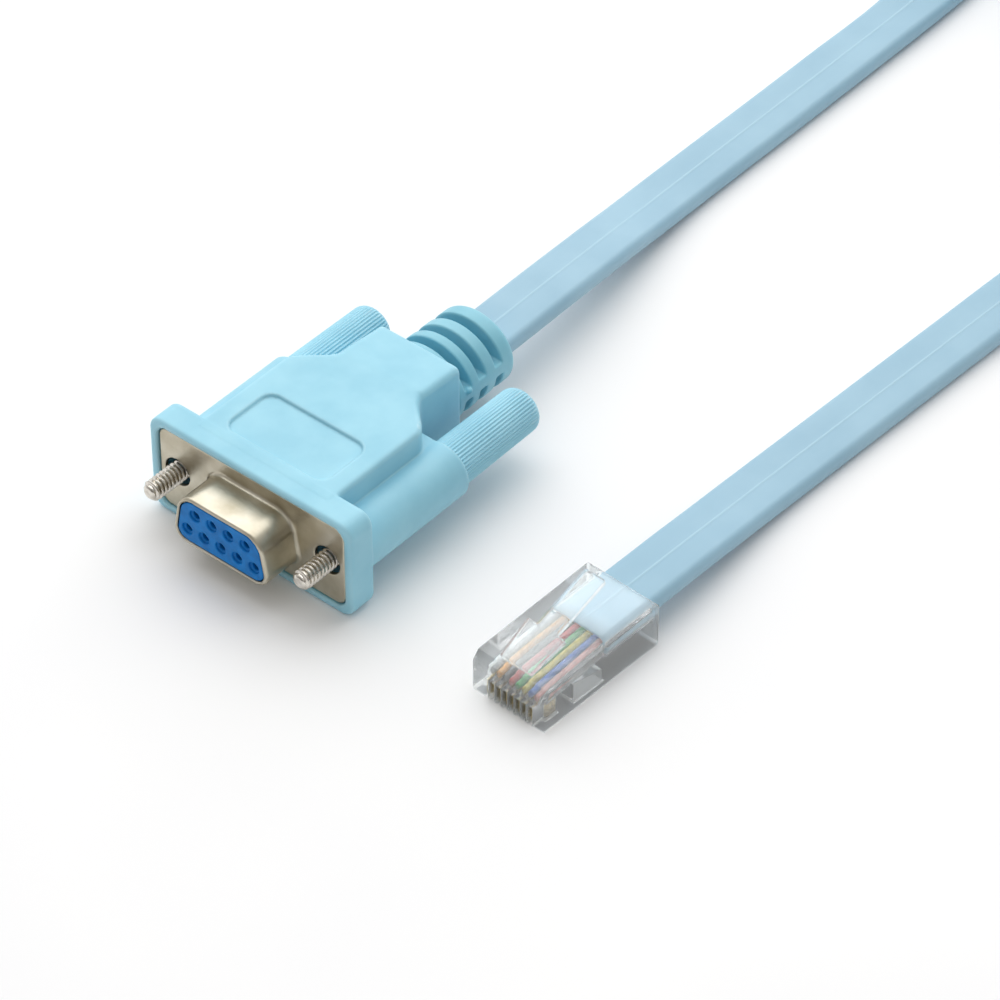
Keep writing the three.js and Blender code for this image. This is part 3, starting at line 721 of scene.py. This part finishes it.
FROM_HOOD = [
    [0, 40.8, 7.4, 0],
    [0, 43.95, 7.4, 0],
    [-0.1, 50, 7.35, 0],
    [-0.5, 57, 6.95, 0],
    [-1.35, 65, 5.9, 0],
    [-2.6, 73, 4.3, 0],
    [-3.85, 81, 2.6, 0],
    [-4.6, 89, 1.65, 0],
    [-4.8, 97, 1.4, 0],
    [-4.8, 110, 1.35, 0],
    [-4.8, 125, 1.4, 0],
    [-4.8, 140, 1.5, 0],
    [-5.0, 152, 2.25, 15],
    [-5.4, 162, 3.4, 40],
    [-5.9, 170, 4.3, 62],
    [-6.4, 177, 4.8, 76],
]
TO_PLUG = [
    [58.9, 154.6, 11.0, 76],
    [55.0, 148.5, 8.9, 62],
    [51.2, 141, 6.4, 42],
    [48.0, 132, 4.0, 20],
    [45.6, 122, 2.2, 5],
    [44.3, 113, 1.45, 0],
    [43.6, 105, 1.3, 0],
    [42.95, 90, 1.3, 0],
    [42.3, 75, 1.3, 0],
    [41.7, 60, 1.35, 0],
    [41.5, 53, 1.5, 0],
    [41.55, 46, 2.0, 0],
    [41.9, 39, 2.9, 0],
    [42.3, 32, 3.9, 0],
    plug_line(PLUG_LENGTH + 5),
    plug_line(PLUG_LENGTH),
    plug_line(JACKET_END),
]
COIL_FIRST = 190.0  # degrees round the coil, where the cord joins it
COIL_LAYER_TURN = 957.5
COIL_CLIMB = 120.0
COIL_RADII = (46.25, 38.15)
COIL_HEIGHTS = (5.05, 13.55)
COIL_STEP = 12.0


def coil_points():
    """In along the lower layer, up at the inside, and out along the upper one."""
    points = []
    total = 2 * COIL_LAYER_TURN + COIL_CLIMB
    for turned in np.arange(0, total + COIL_STEP / 2, COIL_STEP):
        inward = min(turned, COIL_LAYER_TURN) / COIL_LAYER_TURN
        outward = max(0.0, turned - COIL_LAYER_TURN - COIL_CLIMB) / COIL_LAYER_TURN
        radius = COIL_RADII[0] + (COIL_RADII[1] - COIL_RADII[0]) * (inward - outward)
        height = ramp_between(turned, COIL_LAYER_TURN, COIL_LAYER_TURN + COIL_CLIMB, *COIL_HEIGHTS)
        angle = math.radians(COIL_FIRST - turned)
        points.append([COIL_X + radius * math.cos(angle), COIL_Y + radius * math.sin(angle), height, 90])
    return points


def smooth_path(points, spacing):
    """A centripetal Catmull-Rom curve through all points, in steps of about one length."""
    knots = np.array(points, float)
    knots = np.vstack([2 * knots[0] - knots[1], knots, 2 * knots[-1] - knots[-2]])
    gaps = np.sqrt(np.linalg.norm(np.diff(knots[:, :3], axis=0), axis=1))
    times = np.concatenate([[0], np.cumsum(gaps)])
    route = []
    for i in range(1, len(knots) - 2):
        t0, t1, t2, t3 = times[i - 1:i + 3]
        p0, p1, p2, p3 = knots[i - 1:i + 3]
        steps = max(1, round(np.linalg.norm((p2 - p1)[:3]) / spacing))
        for t in t1 + (t2 - t1) * np.arange(steps) / steps:
            a1 = (t1 - t) / (t1 - t0) * p0 + (t - t0) / (t1 - t0) * p1
            a2 = (t2 - t) / (t2 - t1) * p1 + (t - t1) / (t2 - t1) * p2
            a3 = (t3 - t) / (t3 - t2) * p2 + (t - t2) / (t3 - t2) * p3
            b1 = (t2 - t) / (t2 - t0) * a1 + (t - t0) / (t2 - t0) * a2
            b2 = (t3 - t) / (t3 - t1) * a2 + (t - t1) / (t3 - t1) * a3
            route.append((t2 - t) / (t2 - t1) * b1 + (t - t1) / (t2 - t1) * b2)
    route.append(knots[-2])
    return np.array(route)


def cord_section():
    """Rounded edges, and a fine raised line along the middle of both faces."""
    half_w, half_t = CORD_WIDTH / 2, CORD_THICKNESS / 2
    quarter = []
    for k in range(7):
        angle = k / 6 * math.pi / 2
        quarter.append((half_w - CORD_CORNER + CORD_CORNER * math.cos(angle),
                        half_t - CORD_CORNER + CORD_CORNER * math.sin(angle)))
    ridge = CORD_RIDGE_WIDTH / 2
    line = [(ridge * k / 4, half_t + CORD_RIDGE * (1 + math.cos(math.pi * k / 4)) / 2)
            for k in range(4, -5, -1)]
    top = quarter + [(2.0, half_t), (0.6, half_t)] + line + [(-0.6, half_t), (-2.0, half_t)]
    top += [(-x, y) for x, y in reversed(quarter)]
    return top + [(-x, -y) for x, y in top]


def add_cord(material):
    """The whole cord as one sweep, and the places along its middle."""
    route = smooth_path(FROM_HOOD + coil_points() + TO_PLUG, 2.0)
    places = route[:, :3]
    tangents = np.gradient(places, axis=0)
    tangents /= np.linalg.norm(tangents, axis=1, keepdims=True)
    section = cord_section()
    points = []
    for place, tangent, roll in zip(places, tangents, np.radians(route[:, 3])):
        along = Vector(tangent)
        across = Vector((tangent[1], -tangent[0], 0)).normalized()
        across.rotate(Matrix.Rotation(roll, 3, along))
        upward = across.cross(along)
        points += [Vector(place) + across * u + upward * v for u, v in section]
    made = add_object("flat_cord", points, grid_faces(len(places), len(section)), LAYOUT, material)
    # Marks the raised lines, where the cord's material paints a highlight.
    on_ridge_highlight = [1.0 if abs(u) < 0.3 * CORD_RIDGE_WIDTH else 0.0 for u, v in section]
    made.data.attributes.new(RIDGE_HIGHLIGHT_ATTRIBUTE, "FLOAT", "POINT").data.foreach_set("value", on_ridge_highlight * len(places))
    return made, [LAYOUT @ (Vector(place) * MM) for place in places]


def add_wire(number, material):
    """One insulated wire from the jacket's end to its blade, with a slight bow."""
    lane = number - 3.5
    columns = 20
    rows = []
    for share in np.linspace(0, 1, 26):
        y = WIRE_FRONT + (JACKET_END + 0.25 - WIRE_FRONT) * share
        bow = 0.025 * math.sin(share * math.pi * 2 + number * 1.3)
        rows.append((lane * (BLADE_PITCH - 0.06 * share ** 2) + bow, y, wire_height(min(y, JACKET_END))))
    points = []
    for x, y, z in rows:
        radius = WIRE_RADIUS * (0.9 if y == WIRE_FRONT else 1)
        for k in range(columns):
            angle = 2 * math.pi * k / columns
            points.append((x + radius * math.cos(angle), y, z + radius * math.sin(angle)))
    name = WIRES[number][0]
    made = add_object(f"wire_{number + 1}", points, grid_faces(len(rows), columns), PLUG, material)
    return dress(made, BODY, f"wire_{name}", f"conductor_{number + 1}")


WIRES = [("grey", (176, 178, 180)), ("orange", (232, 160, 50)), ("black", (72, 74, 78)),
         ("red", (206, 52, 50)), ("green", (70, 172, 92)), ("yellow", (216, 196, 74)),
         ("blue", (34, 100, 190)), ("brown", (196, 130, 124))]


def add_tie(material):
    """A closed band round the coil's section."""
    low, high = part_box("cord_coil")
    inner = COIL_RADII[1] - CORD_THICKNESS / 2 - TIE_INNER_GAP
    outer = COIL_RADII[0] + CORD_THICKNESS / 2 + TIE_OUTER_GAP
    bottom = low.z / MM - TIE_HEIGHT_GAP
    top = high.z / MM + TIE_HEIGHT_GAP
    turn = Matrix.Translation((COIL_X * MM, COIL_Y * MM, 0)) @ Matrix.Rotation(TIE_ANGLE, 4, "Z")
    corners = [(outer - TIE_CORNER, top - TIE_CORNER), (inner + TIE_CORNER, top - TIE_CORNER),
               (inner + TIE_CORNER, bottom + TIE_CORNER), (outer - TIE_CORNER, bottom + TIE_CORNER)]
    outline = []
    for quarter, (cx, cz) in enumerate(corners):
        for k in range(7):
            angle = math.radians(quarter * 90 + k * 15)
            nu, nw = math.cos(angle), math.sin(angle)
            outline.append((cx + TIE_CORNER * nu, cz + TIE_CORNER * nw, nu, nw))
    half = TIE_WIDTH / 2
    points = []
    for u, w, nu, nw in outline:
        far_u, far_w = u + nu * TIE_THICKNESS, w + nw * TIE_THICKNESS
        points += [(u, -half, w), (far_u, -half + 0.1, far_w), (far_u, half - 0.1, far_w), (u, half, w)]
    count = len(outline)
    faces = [(i * 4 + j, i * 4 + (j + 1) % 4, ((i + 1) % count) * 4 + (j + 1) % 4, ((i + 1) % count) * 4 + j)
             for i in range(count) for j in range(4)]
    made = add_object("coil_tie_band", points, faces, LAYOUT @ turn, material, smooth=False)
    return dress(made, BODY, "tie_black", "coil_tie")


def add_moulding(name, field, low, high, pitch, place, material, body, slot, node):
    points, quads = field_mesh(field, low, high, pitch)
    made = add_object(name, points, quads, place, material)
    return dress(made, body, slot, node)


def add_boot(material):
    return add_moulding("boot", boot_field, (-BOOT_ROOM[0], BOOT_ROOT_FRONT, -BOOT_ROOM[1]),
                        (BOOT_ROOM[0], BOOT_END, BOOT_ROOM[1]), 0.19, CONNECTOR, material, BODY,
                        "relief_blue", "strain_relief")


def add_hood(material):
    half_x, half_z = FLANGE_HALF
    return add_moulding("hood_moulding", hood_field, (-half_x, -FLANGE_PROUD, -half_z),
                        (half_x, HOOD_REAR, half_z), 0.26, CONNECTOR, material, BODY, "hood_blue", "hood")


def add_shell(material):
    half_x, half_z = PLATE_HALF
    return add_moulding("shell_pressing", shell_field, (-half_x, -SHROUD_REACH, -half_z),
                        (half_x, PLATE_THICKNESS, half_z), 0.17, CONNECTOR, material, BODY,
                        "nickel", "front_shell")


def add_insulator(material):
    half_x, half_z = INSULATOR_ROOM
    return add_moulding("insulator_block", insulator_field, (-half_x, INSULATOR_FACE, -half_z),
                        (half_x, INSULATOR_REAR, half_z), 0.15, CONNECTOR, material, BODY,
                        "insulator_blue", "insulator")


def add_plug(material):
    return add_moulding("plug_moulding", plug_field, (-PLUG_HALF, 0, 0), (PLUG_HALF, PLUG_LENGTH, PLUG_ROOM),
                        0.16, PLUG, material, BODY, "clear_plastic", "plug_body")


def add_latch(material):
    root = Vector((0, LATCH_ROOT, plug_top(LATCH_ROOT) + LATCH_GAP)) * MM
    place = PLUG @ Matrix.Translation(root) @ Matrix.Rotation(LATCH_RISE, 4, "X")
    return add_moulding("latch_moulding", latch_field, (-LATCH_HALF, 0, 0),
                        (LATCH_HALF, LATCH_LENGTH, LATCH_THICKNESS), 0.13, place, material, "latch",
                        "clear_plastic", "plug_latch")


def plate_contacts(material):
    """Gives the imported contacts, which keep their own shape, their look."""
    blades = [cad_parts[f"plug_contact_{i}"] for i in range(1, 9)]
    sockets = [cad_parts[f"socket_contact_{i}"] for i in range(1, 10)]
    for contact in blades + sockets:
        contact.data.materials.clear()
        contact.data.materials.append(material)
    return blades


def add_floor():
    mesh = bpy.data.meshes.new("floor")
    work = bmesh.new()
    bmesh.ops.create_grid(work, x_segments=8, y_segments=8, size=6.0)
    work.to_mesh(mesh)
    work.free()
    mesh.materials.append(floor_paint())
    floor = bpy.data.objects.new("floor", mesh)
    bpy.context.collection.objects.link(floor)


def add_light(name, place, size, power, colour=(1, 1, 1)):
    data = bpy.data.lights.new(name, "AREA")
    data.size = size
    data.energy = power
    data.color = colour
    light = bpy.data.objects.new(name, data)
    light.location = place
    light.rotation_euler = (Vector((0.02, 0.02, 0)) - Vector(place)).to_track_quat("-Z", "Y").to_euler()
    bpy.context.collection.objects.link(light)


def add_world():
    """Soft light all round, brighter on the key light's side than at the right and the front."""
    world = bpy.data.worlds.new("studio")
    bpy.context.scene.world = world
    world.use_nodes = True
    nodes, links = world.node_tree.nodes, world.node_tree.links
    place = nodes.new("ShaderNodeTexCoord")
    towards = nodes.new("ShaderNodeVectorMath")
    towards.operation = "DOT_PRODUCT"
    towards.inputs[1].default_value = Vector(BRIGHT_SIDE).normalized()
    links.new(place.outputs["Generated"], towards.inputs[0])
    share = nodes.new("ShaderNodeMapRange")
    share.inputs["From Min"].default_value = -1
    links.new(towards.outputs["Value"], share.inputs["Value"])
    ramp = nodes.new("ShaderNodeValToRGB")
    stops = ramp.color_ramp.elements
    stops[0].position, stops[0].color = 0.2, (0.28, 0.27, 0.26, 1)
    stops[1].position, stops[1].color = 0.8, (1.0, 1.0, 1.0, 1)
    middle = stops.new(0.5)
    middle.color = (0.6, 0.59, 0.57, 1)
    links.new(share.outputs["Result"], ramp.inputs["Fac"])
    background = nodes["Background"]
    links.new(ramp.outputs["Color"], background.inputs["Color"])
    background.inputs["Strength"].default_value = 0.7


def main():
    bpy.context.scene.view_settings.view_transform = "Standard"
    add_camera()
    # The hood's paler edge colour is a painted highlight.
    hood_look = moulded_plastic("hood_plastic", (147, 207, 227), (159, 216, 234), painted_edge_highlight=(194, 228, 240))
    # The boot is the hood's own plastic; its darker colours are painted shade.
    shaded_boot_look = moulded_plastic("boot_plastic_painted_shade", (130, 194, 212), (142, 202, 219))
    cord_look = cord_plastic()
    steel = bright_steel()
    clear = clear_polycarbonate()

    cord, path = add_cord(cord_look)
    boot = add_boot(shaded_boot_look)
    add_hood(hood_look)
    add_shell(nickel_plate())
    add_insulator(insulator_plastic())
    plug = add_plug(clear)
    latch = add_latch(clear)
    for side in ("left", "right"):
        add_knob(side, hood_look)
        add_screw(side, steel)
    wires = [add_wire(i, wire_insulation(name, colour)) for i, (name, colour) in enumerate(WIRES)]
    tie = add_tie(hook_and_loop())
    blades = plate_contacts(gold_plate())

    dress(cord, BODY, "cord_blue", "cord_from_hood", "cord_coil", "cord_to_plug")

    add_floor()
    add_world()
    add_light("key", (-0.36, 0.45, 0.75), 1.4, 9.0)
    add_light("fill", (0.55, -0.55, 0.6), 0.7, 0.5, (1.0, 0.98, 0.95))


main()
